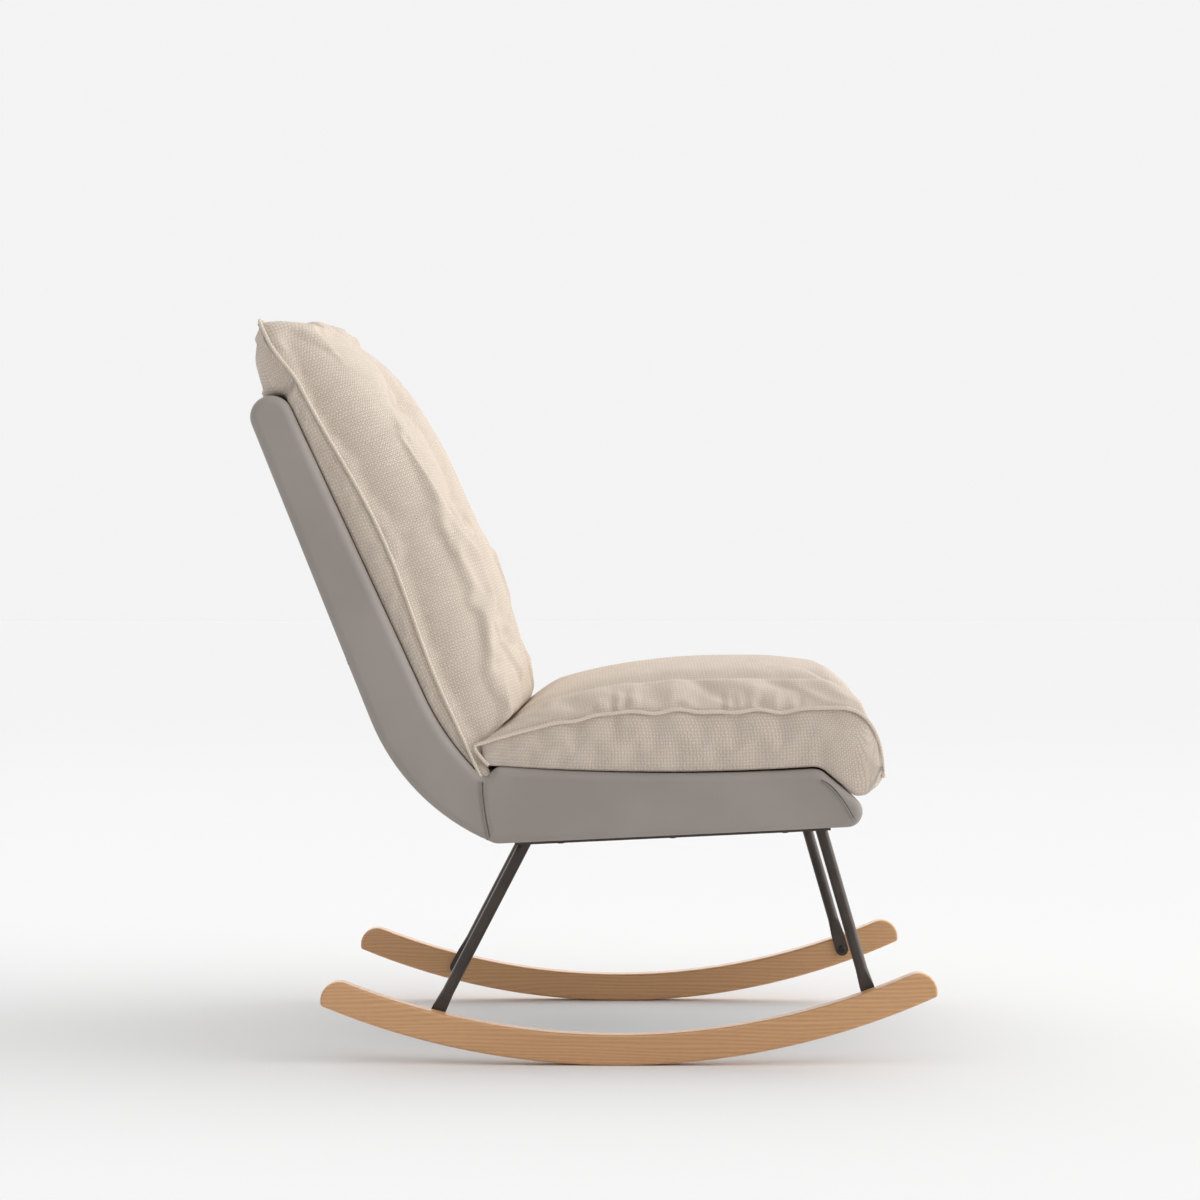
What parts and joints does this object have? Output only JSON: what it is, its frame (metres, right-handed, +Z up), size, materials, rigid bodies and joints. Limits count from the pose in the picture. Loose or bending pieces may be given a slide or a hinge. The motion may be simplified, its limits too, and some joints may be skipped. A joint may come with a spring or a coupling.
{
  "type": "rocking chair",
  "caption": "Rocking chair: a one-piece upholstered seat shell with a loose seat cushion and a loose tufted back cushion, on splayed steel tube legs bolted to bowed wooden rockers.",
  "frame": {"origin": "on the floor, under the middle of the chair's overall box", "axes": "+X to the front, +Y to the sitter's left, +Z up"},
  "size_m": [0.8693, 0.6, 0.9567],
  "materials": {
    "rocker_wood": "clear satin",
    "frame_wood": "bare",
    "board": "bare",
    "frame_steel": "satin powder coat",
    "fastener_steel": "satin",
    "zinc_steel": "zinc plated",
    "brass": "bare",
    "shell_leather": "smooth matt artificial leather",
    "dust_cloth": "spun cloth",
    "webbing": "elastic webbing",
    "foam": "open cell foam and wadding",
    "cushion_fabric": "woven"
  },
  "bodies": {
    "chair": {"rocker_left": "rocker_wood", "rocker_right": "rocker_wood", "side_frame_left": "frame_wood", "side_frame_right": "frame_wood", "back_top_rail": "frame_wood", "back_lumbar_rail": "frame_wood", "seat_rear_rail": "frame_wood", "seat_front_rail": "frame_wood", "batten_left": "frame_wood", "batten_right": "frame_wood", "back_board": "board", "rear_leg_left": "frame_steel", "rear_leg_right": "frame_steel", "front_leg_left": "frame_steel", "front_leg_right": "frame_steel", "side_rail_left": "frame_steel", "side_rail_right": "frame_steel", "cross_rail_front": "frame_steel", "cross_rail_rear": "frame_steel", "leg_bolts": "fastener_steel", "frame_bolts": "fastener_steel", "tee_nuts": "zinc_steel", "rocker_inserts": "brass", "rear_cover": "shell_leather", "inner_back_cover": "shell_leather", "seat_cover": "shell_leather", "side_cover_left": "shell_leather", "side_cover_right": "shell_leather", "dust_cover": "dust_cloth", "back_webbing": "webbing", "seat_webbing": "webbing", "back_foam": "foam", "seat_foam": "foam"},
    "seat_cushion": {"seat_cushion": "cushion_fabric", "seat_cushion_core": "foam"},
    "back_cushion": {"back_cushion": "cushion_fabric"}
  },
  "joints": [
    {"name": "seat_cushion_lift", "type": "slide", "parent": "chair", "child": "seat_cushion", "axis": [0.9397, 0, 0.342], "range_m": [0, 0.5]},
    {"name": "back_cushion_lift", "type": "slide", "parent": "chair", "child": "back_cushion", "axis": [-0.4195, 0, 0.9078], "range_m": [0, 0.6]}
  ]
}
